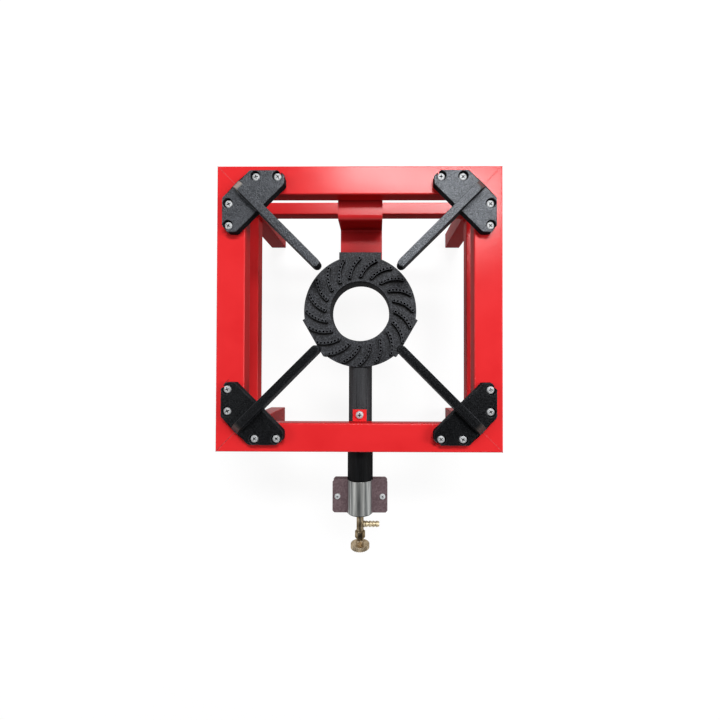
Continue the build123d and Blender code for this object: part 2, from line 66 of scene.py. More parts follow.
# Stand: four mitred top rails, four legs and three lower rails of thin steel tube.
# The tubes are welded and the whole stand is powder coated red, a glossy skin with a fine orange
# peel, paler over the corners; faces turned inwards are given a darker red as painted shade, and
# almost no gloss.
mm = 0.001
paint_red = (0.82, 0.027, 0.031, 1)
paint_deep_red = (0.77, 0.022, 0.026, 1)
# A darker red: painted shade on faces turned inwards, and the deeper cloud tone of the weld beads.
paint_dim_red = (0.62, 0.016, 0.017, 1)
# Near-black red: painted shade deep between pieces.
shaded_hollow_red = (0.10, 0.003, 0.004, 1)
paint_edge_red = (0.90, 0.080, 0.080, 1)
paint_worn_edge = 1.2 * mm
hollow_shade_reach = 45 * mm
inward_start = 5 * mm
inward_full = 40 * mm
tube_edge_round = 0.55 * mm
corner_signs = {
    "front_left": (-1, -1),
    "front_right": (1, -1),
    "back_right": (1, 1),
    "back_left": (-1, 1),
}
rail_names = ["top_rail_" + side for side in ("front", "back", "left", "right")]
leg_names = ["leg_" + corner for corner in corner_signs]
lower_rail_names = ["lower_rail_" + side for side in ("left", "right", "back")]
rail_low, rail_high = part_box("top_rail_front")
back_low, back_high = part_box("top_rail_back")
stand_middle = Vector(((rail_low.x + rail_high.x) / 2, (rail_low.y + back_high.y) / 2, 0))


class Finish:
    """A finish being mixed: the nodes of a material, or of the room, and how they are joined."""

    def __init__(self, owner):
        owner.use_nodes = True
        self.owner = owner
        self.nodes = owner.node_tree.nodes
        self.links = owner.node_tree.links
        self.shader = next((n for n in self.nodes if n.type == "BSDF_PRINCIPLED"), None)

    def join(self, value, socket):
        """Joins a socket to another one, or writes a constant on it."""
        if isinstance(value, bpy.types.NodeSocket):
            self.links.new(value, socket)
        else:
            socket.default_value = value

    def put(self, name, value):
        """Feeds one of the shader's own sockets, such as its roughness."""
        self.join(value, self.shader.inputs[name])

    def places(self, stretch=(1, 1, 1)):
        """Places on the piece itself, in metres, so that a grain keeps its real size."""
        place = self.nodes.new("ShaderNodeTexCoord")
        scale = self.nodes.new("ShaderNodeMapping")
        self.join(stretch, scale.inputs["Scale"])
        self.join(place.outputs["Object"], scale.inputs["Vector"])
        return scale.outputs["Vector"]

    def facing(self):
        """The direction in which the face looks."""
        return self.nodes.new("ShaderNodeNewGeometry").outputs["Normal"]

    def grain(self, where, per_metre, detail=4.0, rough=0.55):
        """Cloudy grain with this many blotches to the metre."""
        noise = self.nodes.new("ShaderNodeTexNoise")
        self.join(where, noise.inputs["Vector"])
        self.join(per_metre, noise.inputs["Scale"])
        self.join(detail, noise.inputs["Detail"])
        self.join(rough, noise.inputs["Roughness"])
        return noise.outputs["Fac"]

    def ramp(self, amount, stops):
        """Colours or greys spread over an amount: stops are (place, colour) pairs."""
        band = self.nodes.new("ShaderNodeValToRGB")
        marks = band.color_ramp.elements
        marks[0].position, marks[0].color = stops[0]
        marks[1].position, marks[1].color = stops[-1]
        for place, colour in stops[1:-1]:
            marks.new(place).color = colour
        self.join(amount, band.inputs["Fac"])
        return band.outputs["Color"]

    def between(self, value, start, end, low=0.0, high=1.0):
        """Takes a value from its place between start and end to the same place from low to high."""
        reach = self.nodes.new("ShaderNodeMapRange")
        self.join(value, reach.inputs["Value"])
        self.join(start, reach.inputs["From Min"])
        self.join(end, reach.inputs["From Max"])
        self.join(low, reach.inputs["To Min"])
        self.join(high, reach.inputs["To Max"])
        return reach.outputs["Result"]

    def spread(self, share, low, high):
        """A share from 0 to 1 turned into a range, such as a roughness."""
        return self.between(share, 0.0, 1.0, low, high)

    def blend(self, share, first, second):
        """First colour where the share is 0, second where it is 1; each a socket or a colour."""
        mix = self.nodes.new("ShaderNodeMix")
        mix.data_type = "RGBA"
        self.join(share, mix.inputs["Factor"])
        self.join(first, mix.inputs[6])
        self.join(second, mix.inputs[7])
        return mix.outputs[2]

    def vector(self, operation, *values):
        """One step of reckoning with places and directions."""
        step = self.nodes.new("ShaderNodeVectorMath")
        step.operation = operation
        for socket, value in zip(step.inputs, values):
            self.join(value, socket)
        one_number = operation in ("DOT_PRODUCT", "LENGTH")
        return step.outputs["Value" if one_number else "Vector"]

    def edge_share(self, radius):
        """1 along sharp edges and 0 on flat ground, from how far a rounded edge would turn."""
        rounded = self.nodes.new("ShaderNodeBevel")
        rounded.samples = 6
        self.join(radius, rounded.inputs["Radius"])
        turn = self.vector("DOT_PRODUCT", rounded.outputs["Normal"], self.facing())
        return self.between(turn, 1.0, 0.86)

    def openness(self, reach, towards=None):
        """1 in the open, less where other faces stand within reach; towards is where it looks."""
        shelter = self.nodes.new("ShaderNodeAmbientOcclusion")
        shelter.samples = 8
        self.join(reach, shelter.inputs["Distance"])
        if towards is not None:
            self.join(towards, shelter.inputs["Normal"])
        return shelter.outputs["AO"]

    def bumps(self, *layers):
        """Raises the surface by several grains: each layer is (height, depth in metres)."""
        below = None
        for height, depth in layers:
            bump = self.nodes.new("ShaderNodeBump")
            self.join(1.0, bump.inputs["Strength"])
            self.join(depth, bump.inputs["Distance"])
            self.join(height, bump.inputs["Height"])
            if below is not None:
                self.join(below, bump.inputs["Normal"])
            below = bump.outputs["Normal"]
        self.put("Normal", below)


def new_finish(name):
    return Finish(bpy.data.materials.new(name))


def grey(value):
    return (value, value, value, 1)


def facing_inwards(coat, where):
    """1 on faces turned to the middle of the stand or downwards, 0 on the others."""
    inward = coat.vector("SUBTRACT", (stand_middle.x, stand_middle.y, 0), where)
    turn = coat.vector("DOT_PRODUCT", inward, coat.facing())
    return coat.between(turn, inward_start, inward_full)


def red_powder_coat(name, full, deep, hollow_shade_depth=0.0):
    """Red coat with painted shade on faces turned inwards; the last number is how dark a painted
    shade gets deep between other pieces.
    """
    coat = new_finish(name)
    where = coat.places()
    clouds = coat.grain(where, per_metre=14, detail=3)
    peel = coat.grain(where, per_metre=520, detail=2, rough=0.4)
    dust = coat.grain(where, per_metre=1900, detail=3)
    # Faces turned inwards get a darker red, painted shade, and almost no gloss.
    inward_shade_share = facing_inwards(coat, where)
    body = coat.ramp(clouds, [(0.3, deep), (0.6, full)])
    body = coat.blend(inward_shade_share, body, paint_dim_red)
    # Where other faces stand near, the red is blended towards near black: painted shade in the
    # hollows.
    if hollow_shade_depth:
        shade_share = coat.ramp(coat.openness(hollow_shade_reach), [(0.35, grey(hollow_shade_depth)), (0.80, grey(0.0))])
        body = coat.blend(shade_share, body, shaded_hollow_red)
    edges = coat.edge_share(paint_worn_edge)
    coat.put("Base Color", coat.blend(edges, body, paint_edge_red))
    coat.put("Roughness", coat.spread(clouds, 0.16, 0.30))
    coat.put("Specular IOR Level", coat.spread(inward_shade_share, 0.28, 0.008))
    coat.bumps((peel, 0.04 * mm), (dust, 0.01 * mm))
    return coat.owner


def dress_node(name, material, edge_round, sharp=28):
    """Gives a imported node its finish, and rounds its sharp edges the way the real ones are."""
    node = cad_nodes[name]
    node.material_slots[0].material = material
    for face in node.data.polygons:
        face.use_smooth = True
    weld = node.modifiers.new("joined", "WELD")
    weld.merge_threshold = 0.001 * mm
    bevel = node.modifiers.new("rounded_edges", "BEVEL")
    bevel.width = edge_round
    bevel.segments = 2
    bevel.limit_method = "ANGLE"
    bevel.angle_limit = math.radians(sharp)
    bevel.use_clamp_overlap = False
    bevel.miter_outer = "MITER_ARC"
    shade = node.modifiers.new("even_shading", "WEIGHTED_NORMAL")
    shade.keep_sharp = True


red_paint = red_powder_coat("red_powder_coat", paint_red, paint_deep_red)
for tube_name in rail_names + leg_names + lower_rail_names:
    dress_node(tube_name, red_paint, tube_edge_round)

# Mitre seams: the welds on the four corners of the top frame, ground nearly flush.
# Under the paint each is a flat, slightly uneven ridge of weld metal under a millimetre wide.
# The front left one was ground less and shows as a thin dark line, the others hardly.
seam_width = 0.8 * mm
seam_height = 0.10 * mm
seam_steps = 40
seam_edge_steps = 18
seam_edge_inset = 0.12 * mm
seam_swell = 0.22
seam_drift = 0.12 * seam_width
seam_profile = [(-0.5, -0.6), (-0.34, 0.55), (0.0, 1.0), (0.34, 0.55), (0.5, -0.6)]
open_seam_share = 0.15
flush_seam_share = 0.72
corner_chamfer = 1.2 * mm
seam_outer_gap = 1.3 * corner_chamfer
seam_inner_gap = 1.2 * corner_chamfer
half_side = (rail_high.x - rail_low.x) / 2
rail_width = rail_high.y - rail_low.y
stand_top = rail_high.z
rail_underside = rail_low.z
up = Vector((0, 0, 1))
down = Vector((0, 0, -1))
rng = random.Random(11)


def seam_paint(name, share):
    """Powder coat that has sunk into the ground weld: darker and duller than the rails."""
    coat = new_finish(name)
    ripple = coat.grain(coat.places(), per_metre=420)
    sunk = tuple(c * share for c in paint_deep_red[:3]) + (1,)
    coat.put("Base Color", coat.ramp(ripple, [(0.35, sunk), (0.75, paint_deep_red)]))
    coat.put("Roughness", coat.spread(ripple, 0.35, 0.6))
    coat.bumps((ripple, 0.12 * mm))
    return coat.owner


def loose_piece(name, maker):
    """Turns a bmesh into an object in the scene."""
    mesh = bpy.data.meshes.new(name)
    maker.to_mesh(mesh)
    maker.free()
    piece = bpy.data.objects.new(name, mesh)
    bpy.context.scene.collection.objects.link(piece)
    return piece


def stand_piece(name, maker, material, body="stand"):
    """Turns a bmesh into a smooth-shaded piece that rides on a body of the stove."""
    maker.normal_update()
    piece = loose_piece(name, maker)
    for face in piece.data.polygons:
        face.use_smooth = True
    piece.data.materials.append(material)
    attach(piece, body)
    return piece


def skin_rows(maker, rows):
    """Closes the strip between each row of points and the next."""
    for low, high in zip(rows, rows[1:]):
        for i in range(len(low) - 1):
            maker.faces.new((low[i], low[i + 1], high[i + 1], high[i]))


def ridge(maker, start, end, out, steps):
    """Adds a shallow rounded ridge from start to end, standing out from the surface."""
    across = (end - start).normalized().cross(out).normalized()
    rows = []
    for k in range(steps + 1):
        swell = 1 + rng.uniform(-seam_swell, seam_swell)
        drift = across * rng.uniform(-seam_drift, seam_drift)
        foot = start.lerp(end, k / steps) + drift
        row = []
        for u, v in seam_profile:
            aside = across * (u * seam_width * swell)
            row.append(maker.verts.new(foot + aside + out * (v * seam_height * swell)))
        rows.append(row)
    skin_rows(maker, rows)


open_seam_maker = bmesh.new()
flush_seam_maker = bmesh.new()
for corner_name, (sign_x, sign_y) in corner_signs.items():
    seam_maker = open_seam_maker if corner_name == "front_left" else flush_seam_maker
    corner = stand_middle + Vector((sign_x * half_side, sign_y * half_side, 0))
    inward = Vector((-sign_x, -sign_y, 0))
    first = corner + inward * seam_outer_gap
    last = corner + inward * (rail_width - seam_inner_gap)
    for height, out in ((stand_top, up), (rail_underside, down)):
        lift = up * height
        ridge(seam_maker, first + lift, last + lift, out, seam_steps)
    edge = corner + inward * seam_edge_inset
    edge_foot = edge + up * (rail_underside + corner_chamfer)
    edge_top = edge + up * (stand_top - corner_chamfer)
    ridge(seam_maker, edge_foot, edge_top, -inward.normalized(), seam_edge_steps)
open_seam_paint = seam_paint("red_paint_over_open_seam", open_seam_share)
stand_piece("open_mitre_seam", open_seam_maker, open_seam_paint)
flush_seam_paint = seam_paint("red_paint_over_flush_seams", flush_seam_share)
stand_piece("flush_mitre_seams", flush_seam_maker, flush_seam_paint)

# Weld beads: rippled fillets of weld metal where legs and lower rails are joined.
# They were laid by hand, so the ripples are uneven; the red coat runs over them.
bead_radius = 1.9 * mm
bead_pitch = 1.5 * mm
bead_sides = 7
bead_valley = 0.86
bead_ripple = 0.18
bead_uneven = 0.04
bead_tip = 0.35
bead_tip_growth = 6
bead_end_share = 0.06
bead_half_share = 0.44
bead_end_gap = 1 * mm
x_way = Vector((1, 0, 0))
y_way = Vector((0, 1, 0))


def weld_bead(maker, start, end, face_a, face_b, radius=bead_radius):
    """Adds a rippled bead in the corner between two faces, whose outward directions are given."""
    count = max(4, round((end - start).length / bead_pitch))
    steps = count * 3
    rings = []
    for k in range(steps + 1):
        t = k / steps
        ripple = bead_ripple * abs(math.sin(math.pi * t * count))
        swell = bead_valley + ripple + rng.uniform(-bead_uneven, bead_uneven)
        close = min(1.0, bead_tip + bead_tip_growth * min(t, 1 - t))
        size = radius * swell * close
        centre = start.lerp(end, t)
        ring = []
        for i in range(bead_sides):
            turn = -0.25 * math.pi + i / (bead_sides - 1) * math.pi
            out = face_a * math.cos(turn) + face_b * math.sin(turn)
            ring.append(maker.verts.new(centre + out * size))
        rings.append(ring)
    skin_rows(maker, rings)
    for ring in (rings[0], rings[-1]):
        maker.faces.new(ring)


bead_maker = bmesh.new()
for leg_name, (sign_x, sign_y) in zip(leg_names, corner_signs.values()):
    low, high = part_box(leg_name)
    inner_x, outer_x = (high.x, low.x) if sign_x < 0 else (low.x, high.x)
    inner_y, outer_y = (high.y, low.y) if sign_y < 0 else (low.y, high.y)
    end_x = outer_x - (outer_x - inner_x) * bead_end_share
    end_y = outer_y - (outer_y - inner_y) * bead_end_share
    inside = Vector((inner_x, inner_y, rail_underside))
    side_end = Vector((inner_x, end_y, rail_underside))
    back_end = Vector((end_x, inner_y, rail_underside))
    weld_bead(bead_maker, inside, side_end, x_way * -sign_x, down)
    weld_bead(bead_maker, inside, back_end, y_way * -sign_y, down)
for lower_name in lower_rail_names:
    low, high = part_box(lower_name)
    run, across = (x_way, y_way) if lower_name == "lower_rail_back" else (y_way, x_way)
    inner_sign = -1 if (low + high).dot(across) / 2 > stand_middle.dot(across) else 1
    lower_rail_side = (high - low).dot(across)
    half = across * (lower_rail_side * bead_half_share)
    for end_sign, end_point in ((1, low), (-1, high)):
        base = Vector(((low.x + high.x) / 2, (low.y + high.y) / 2, 0))
        base = base - run * base.dot(run) + run * end_point.dot(run)
        for face, height in ((up, high.z), (down, low.z)):
            middle = base + up * height
            weld_bead(bead_maker, middle - half, middle + half, run * end_sign, face)
        side = base + across * (inner_sign * lower_rail_side / 2)
        side_foot = side + up * (low.z + bead_end_gap)
        side_top = side + up * (high.z - bead_end_gap)
        weld_bead(bead_maker, side_foot, side_top, run * end_sign, across * inner_sign)
weld_paint = red_powder_coat("red_powder_coat_on_beads", paint_deep_red, paint_dim_red)
stand_piece("weld_beads", bead_maker, weld_paint)

# Foot plugs: black moulded plastic caps knocked into the open ends of the legs.
# The moulding has a fine spark-eroded texture, and the tread is scuffed.
plug_edge_round = 0.5 * mm
plug_black = grey(0.012)
plug_scuffed = grey(0.045)


def black_plastic():
    plastic = new_finish("black_moulded_plastic")
    where = plastic.places()
    texture = plastic.grain(where, per_metre=1600, detail=3)
    scuffs = plastic.grain(where, per_metre=90, detail=6, rough=0.7)
    plastic.put("Base Color", plastic.ramp(scuffs, [(0.45, plug_black), (0.75, plug_scuffed)]))
    plastic.put("Roughness", plastic.spread(scuffs, 0.4, 0.65))
    plastic.bumps((texture, 0.05 * mm))
    return plastic.owner


plug_plastic = black_plastic()
for corner in corner_signs:
    dress_node("foot_plug_" + corner, plug_plastic, plug_edge_round)

# Burner bracket and front tab: flat steel bars, one bent twice, welded under the rails.
# They carry the burner and were painted with the stand; the bracket is given darker reds as painted
# shade under the back rail, and a painted shade deepens towards near black in the hollow of the bend.
bar_edge_round = 0.5 * mm
bar_bead_radius = 1.6 * mm
bar_bead_start = 2 * mm
bar_bead_end = 26 * mm
# Darker reds than the rails: painted shade under the back rail.
bracket_shaded_red = (0.64, 0.024, 0.027, 1)
bracket_shaded_deep_red = (0.56, 0.018, 0.020, 1)
bracket_shade_in_bend = 0.9
bracket_shaded_paint = red_powder_coat("shaded_red_powder_coat", bracket_shaded_red, bracket_shaded_deep_red, bracket_shade_in_bend)
dress_node("burner_bracket", bracket_shaded_paint, bar_edge_round)
dress_node("burner_tab", red_paint, bar_edge_round)
bar_bead_maker = bmesh.new()
for bar_name, rail_edge, way in (
    ("burner_bracket", back_low.y, 1),
    ("burner_tab", rail_high.y, -1),
):
    low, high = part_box(bar_name)
    for side, x in ((-1, low.x), (1, high.x)):
        start = Vector((x, rail_edge + way * bar_bead_start, rail_underside))
        end = Vector((x, rail_edge + way * bar_bead_end, rail_underside))
        weld_bead(bar_bead_maker, start, end, x_way * side, down, bar_bead_radius)
stand_piece("bar_weld_beads", bar_bead_maker, weld_paint)

# Pot supports: four sand castings in grey iron, dipped in black stove paint, one on each corner.
# The skin keeps the grain of the sand; the arms' edges and the plates' rims are paler, partly rubbed
# and partly a painted highlight.
# The back pair are lit copies of the same paint, paler and glossier, with painted glints in their
# flecks; one arm's end is rubbed to bare iron.
support_edge_round = 0.9 * mm
support_worn_and_lit_edge = 1.0 * mm
support_edge_tone = 0.09
support_shaded_side_tones = (0.010, 0.036)
support_smooth = 0.34
support_tint = (0.88, 0.94, 1.0, 1)
sand_per_metre = 560
sand_depth = 0.26 * mm
steep_gloss = 0.004
arm_wear_start = 224 * mm
arm_wear_fade = 3 * mm
arm_wear_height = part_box("pot_support_front_left")[1].z - 10.5 * mm
arm_wear_rise = 1 * mm
dark_end = (0.030, 0.024, 0.021, 1)
bare_end = (0.30, 0.27, 0.24, 1)


def iron_grey(value):
    """The faintly blue grey of iron under black paint."""
    return (value * 0.93, value * 0.98, value * 1.12, 1)


def parts_of(finish, place):
    """The x, y and z of a place or a direction."""
    parts = finish.nodes.new("ShaderNodeSeparateXYZ")
    finish.join(place, parts.inputs["Vector"])
    return parts.outputs


def maths(finish, operation, *values):
    """One step of reckoning with numbers."""
    step = finish.nodes.new("ShaderNodeMath")
    step.operation = operation
    for socket, value in zip(step.inputs, values):
        finish.join(value, socket)
    return step.outputs["Value"]


def cells(finish, where, per_metre):
    """Packed cells such as grains of sand, this many to the metre."""
    packed = finish.nodes.new("ShaderNodeTexVoronoi")
    finish.join(where, packed.inputs["Vector"])
    finish.join(per_metre, packed.inputs["Scale"])
    return packed.outputs


def arm_end_wear(iron, where):
    """1 on the outer end of an arm, above the plate, where pots are dragged over it; 0 elsewhere."""
    outward = iron.vector("SUBTRACT", where, (stand_middle.x, stand_middle.y, 0))
    reach = iron.vector("LENGTH", iron.vector("MULTIPLY", outward, (1, 1, 0)))
    far = iron.between(reach, arm_wear_start, arm_wear_start + arm_wear_fade)
    height = parts_of(iron, where)["Z"]
    high = iron.between(height, arm_wear_height, arm_wear_height + arm_wear_rise)
    return maths(iron, "MULTIPLY", far, high)


def facing_up(iron):
    """1 on level faces, 0 on steep ones."""
    return iron.between(parts_of(iron, iron.facing())["Z"], 0.35, 0.80)


def flecked_skin(iron, level, flecks, ground, fleck_and_glint_tone, shaded_side_tones):
    """Grey flecks over the ground on level faces; steep faces take two other tones, painted shade set
    by slope.
    """
    skin = iron.blend(flecks, ground, iron_grey(fleck_and_glint_tone))
    dull, pale = shaded_side_tones
    side = iron.blend(flecks, iron_grey(dull), iron_grey(pale))
    return iron.blend(level, side, skin)


def cast_iron(name, gloss, lit_ground_tone, fleck_and_glint_tone, worn_end):
    """Painted sand casting: grains of sand in the skin, pale edges partly rubbed and partly a painted
    highlight, steep sides in painted shade with little gloss.
    """
    iron = new_finish(name)
    where = iron.places()
    sand = iron.grain(where, sand_per_metre * 1.6, detail=2, rough=0.5)
    clouds = iron.grain(where, per_metre=30, detail=3)
    grains = cells(iron, where, sand_per_metre)
    level = facing_up(iron)
    ground = iron.ramp(clouds, [(0.3, iron_grey(lit_ground_tone)), (0.7, iron_grey(lit_ground_tone * 1.6))])
    # Grey flecks; on the back supports they are bright enough to stand for glints, painted into the
    # colour.
    flecks = iron.ramp(sand, [(0.50, grey(0.0)), (0.60, grey(1.0))])
    # Steep faces take their own tones: painted shade set by slope.
    skin = flecked_skin(iron, level, flecks, ground, fleck_and_glint_tone, support_shaded_side_tones)
    # Pale edges: partly rubbed iron, partly a painted highlight along the rounded edges.
    edges = iron.edge_share(support_worn_and_lit_edge)
    skin = iron.blend(edges, skin, iron_grey(support_edge_tone))
    iron.put("Base Color", iron.blend(arm_end_wear(iron, where), skin, worn_end))
    iron.put("Roughness", iron.spread(clouds, support_smooth, support_smooth + 0.08))
    glint = iron.grain(where, sand_per_metre * 1.7, detail=3, rough=0.6)
    bright = iron.ramp(glint, [(0.40, grey(0.0)), (0.64, grey(1.0))])
    paint_gloss = iron.spread(level, steep_gloss, gloss)
    shine = maths(iron, "MULTIPLY", paint_gloss, iron.spread(bright, 0.3, 1.7))
    iron.put("Specular IOR Level", shine)
    iron.put("Specular Tint", support_tint)
    iron.bumps((grains["Distance"], sand_depth), (sand, sand_depth * 0.35))
    return iron.owner


# The back pair get a paler ground, brighter flecks and more gloss: painted light and painted glints
# where the back soft box falls.
for corner, gloss, lit_ground_tone, fleck_and_glint_tone, worn_end in (
    ("front_left", 0.22, 0.0008, 0.012, dark_end),
    ("front_right", 0.20, 0.0008, 0.009, dark_end),
    ("back_right", 0.52, 0.026, 0.17, dark_end),
    ("back_left", 0.46, 0.018, 0.12, bare_end),
):
    support_iron = cast_iron("black_painted_iron_" + corner, gloss, lit_ground_tone, fleck_and_glint_tone, worn_end)
    dress_node("pot_support_" + corner, support_iron, support_edge_round)

# Support screws: sixteen zinc-plated pan-head machine screws with a cross recess.
# They sit sunk in the round recesses of the cast plates and hold them to the rails.
screw_head_radius = 5.5 * mm
screw_head_height = 4.2 * mm
screw_shank_radius = 3.0 * mm
screw_cross = (2.9 * mm, 1.3 * mm, 2.1 * mm)
screw_steps = (57.5 * mm, 87.5 * mm)
screw_sides = 32
thread_pitch_share = 0.34
thread_root_share = 0.86
thread_tip_share = 0.8
recess_span = (0.2, 0.93)
recess_reach = 1.05
cutter_clear = 0.5 * mm
cutter_offset = 0.02 * mm
screw_sharp = math.radians(34)
crown_shares = [
    (1, 0),
    (0.995, 0.40),
    (0.98, 0.66),
    (0.94, 0.82),
    (0.84, 0.93),
    (0.62, 0.99),
    (0.08, 1),
    (0, 0.96),
]
zinc_dull = (0.44, 0.45, 0.46, 1)
zinc_pale = (0.64, 0.66, 0.67, 1)


def zinc_plate():
    """Zinc plating, gone matt and a little cloudy."""
    zinc = new_finish("zinc_plate")
    where = zinc.places()
    clouds = zinc.grain(where, per_metre=260)
    fine = zinc.grain(where, per_metre=2600, detail=2)
    zinc.put("Base Color", zinc.ramp(clouds, [(0.3, zinc_dull), (0.7, zinc_pale)]))
    zinc.put("Metallic", 0.5)
    zinc.put("Roughness", zinc.spread(clouds, 0.56, 0.70))
    zinc.bumps((fine, 0.02 * mm))
    return zinc.owner


def recess_shade():
    """Painted shade in the cross recess of a screw: near black, with a faint grain."""
    painted_shade = new_finish("recess_shade")
    dust = painted_shade.grain(painted_shade.places(), per_metre=1800, detail=3)
    painted_shade.put("Base Color", painted_shade.ramp(dust, [(0.4, grey(0.012)), (0.8, grey(0.05))]))
    painted_shade.put("Roughness", painted_shade.spread(dust, 0.6, 0.85))
    painted_shade.bumps((dust, 0.05 * mm))
    return painted_shade.owner


def lathe(maker, profile, sides, matrix):
    """Turns a profile of (height, radius) points about the local z axis."""
    rings = []
    for height, radius in profile:
        ring = []
        for k in range(sides if radius else 1):
            turn = 2 * math.pi * k / sides
            spot = Vector((radius * math.cos(turn), radius * math.sin(turn), height))
            ring.append(maker.verts.new(matrix @ spot))
        rings.append(ring)
    for low, high in zip(rings, rings[1:]):
        for k in range(sides):
            m = (k + 1) % sides
            if len(low) == 1 and len(high) > 1:
                maker.faces.new((low[0], high[m], high[k]))
            elif len(high) == 1 and len(low) > 1:
                maker.faces.new((low[k], low[m], high[0]))
            elif len(low) > 1:
                maker.faces.new((low[k], low[m], high[m], high[k]))


def screw_outline(head_radius, head_height, shank_radius, shank_length):
    """Half outline of a screw with its seat at height 0: crown, thread and blunt tip."""
    crown = [(head_height * rise, head_radius * reach) for rise, reach in crown_shares]
    pitch = shank_radius * thread_pitch_share
    thread = [(0, shank_radius)]
    for k in range(int(shank_length / pitch)):
        thread.append((-k * pitch - pitch * 0.25, shank_radius))
        thread.append((-k * pitch - pitch * 0.75, shank_radius * thread_root_share))
    tip = [(-shank_length, shank_radius * thread_tip_share), (-shank_length, 0)]
    return crown + thread + tip


def cross_cutter(head_height, arm, width, depth):
    """The tapered cross that a driver fits, standing in the head; one bar a hair above the other."""
    maker = bmesh.new()
    bottom = (head_height - depth, arm * 0.35, width * 0.34)
    top = (head_height + cutter_clear, arm * 1.12, width * 0.56)
    for turn in (0, math.pi / 2):
        spin = Matrix.Rotation(turn, 4, "Z")
        rows = []
        for height, reach, half in (bottom, top):
            z = height + turn * cutter_offset
            corners = [(-reach, -half), (reach, -half), (reach, half), (-reach, half)]
            rows.append([maker.verts.new(spin @ Vector((x, y, z))) for x, y in corners])
        for k in range(4):
            m = (k + 1) % 4
            maker.faces.new((rows[0][k], rows[0][m], rows[1][m], rows[1][k]))
        maker.faces.new(list(reversed(rows[0])))
        maker.faces.new(rows[1])
    return loose_piece("cross_cutter", maker)


def pan_head_screw(head_radius, head_height, shank_radius, shank_length, cross):
    """One cross-recess screw with its seat at z = 0; returns a mesh to set in many places."""
    maker = bmesh.new()
    outline = screw_outline(head_radius, head_height, shank_radius, shank_length)
    lathe(maker, outline, screw_sides, Matrix.Identity(4))
    bmesh.ops.recalc_face_normals(maker, faces=maker.faces)
    blank = loose_piece("screw_blank", maker)
    cutter = cross_cutter(head_height, *cross)
    cut = blank.modifiers.new("cross", "BOOLEAN")
    cut.operation = "DIFFERENCE"
    cut.solver = "EXACT"
    cut.use_self = True
    cut.object = cutter
    ready = blank.evaluated_get(bpy.context.evaluated_depsgraph_get())
    screw = bpy.data.meshes.new_from_object(ready)
    for used in (blank, cutter):
        bpy.data.objects.remove(used)
    recess_low, recess_high = (share * head_height for share in recess_span)
    cross_reach = cross[0] * recess_reach
    # Faces inside the cross recess take the dark recess finish: painted shade.
    for face in screw.polygons:
        sunk = recess_low < face.center.z < recess_high
        if sunk and face.center.xy.length < cross_reach:
            face.material_index = 1
    return screw


def set_screws(name, screw, places, node, body):
    """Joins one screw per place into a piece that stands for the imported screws."""
    maker = bmesh.new()
    for place in places:
        turned = Matrix.Translation(place) @ Matrix.Rotation(rng.uniform(0, math.pi / 2), 4, "Z")
        copy = screw.copy()
        copy.transform(turned)
        maker.from_mesh(copy)
        bpy.data.meshes.remove(copy)
    piece = stand_piece(name, maker, zinc, body)
    piece.data.materials.append(screw_recess_shade)
    piece.data.set_sharp_from_angle(angle=screw_sharp)
    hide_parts(node)


def support_screw(shank_length):
    sizes = (screw_head_radius, screw_head_height, screw_shank_radius, shank_length)
    return pan_head_screw(*sizes, screw_cross)


zinc = zinc_plate()
screw_recess_shade = recess_shade()
screws_low, screws_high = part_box("pot_support_screws")
screw_seat = screws_high.z - screw_head_height
support_places = []
for sign_x, sign_y in corner_signs.values():
    corner = stand_middle + Vector((sign_x * half_side, sign_y * half_side, screw_seat))
    for step in screw_steps:
        for run_x, run_y in ((step, rail_width / 2), (rail_width / 2, step)):
            support_places.append(corner - Vector((sign_x * run_x, sign_y * run_y, 0)))
plate_screw = support_screw(screw_seat - screws_low.z)
set_screws("support_screws", plate_screw, support_places, "pot_support_screws", "stand")

# Tab screw: the same kind of zinc-plated screw, with a shank of its own length.
# It goes down through the front tab into the boss of the mixing tube and holds the burner's front.
tab_low, tab_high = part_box("burner_tab_screw")
tab_middle = (tab_low + tab_high) / 2
tab_seat = Vector((tab_middle.x, tab_middle.y, tab_high.z - screw_head_height))
tab_screw = support_screw(tab_seat.z - tab_low.z)
set_screws("tab_screw", tab_screw, [tab_seat], "burner_tab_screw", "stand")

# Burner body: an iron casting in one piece, the gas trough with three lugs and the mixing tube.
# The skin is rough from the sand and blackened; the tube carries the streaks of its mould
# and is brushed black in front of the rail.
body_edge_round = 1.0 * mm
body_sharp = 34
body_fleck_tone = 0.055
body_shaded_side_tones = (0.012, 0.036)
tube_paint_line = rail_low.y + 15 * mm
tube_paint_fade = 3 * mm
tube_streak_stretch = (1.0, 0.06, 1.0)


def tube_iron():
    """The casting's skin: grey and rough behind the front rail, brushed black in front of it."""
    iron = new_finish("mixing_tube_iron")
    where = iron.places()
    sand = iron.grain(where, per_metre=620, detail=5, rough=0.65)
    streaks = iron.grain(iron.places(tube_streak_stretch), per_metre=420)
    level = facing_up(iron)
    ground = iron.ramp(streaks, [(0.35, iron_grey(0.015)), (0.75, iron_grey(0.040))])
    flecks = iron.ramp(sand, [(0.54, grey(0.0)), (0.68, grey(1.0))])
    # Steep faces take their own tones: painted shade set by slope.
    skin = flecked_skin(iron, level, flecks, ground, body_fleck_tone, body_shaded_side_tones)
    painted = iron.ramp(streaks, [(0.45, iron_grey(0.0025)), (0.8, iron_grey(0.009))])
    fade_start = tube_paint_line + tube_paint_fade
    fade_end = tube_paint_line - tube_paint_fade
    front = iron.between(parts_of(iron, where)["Y"], fade_start, fade_end)
    iron.put("Base Color", iron.blend(front, skin, painted))
    iron.put("Roughness", iron.spread(sand, 0.45, 0.7))
    shine = maths(iron, "MULTIPLY", iron.spread(front, 0.4, 0.08), iron.spread(level, 0.02, 1.0))
    iron.put("Specular IOR Level", shine)
    iron.bumps((sand, 0.3 * mm), (streaks, 0.12 * mm))
    return iron.owner


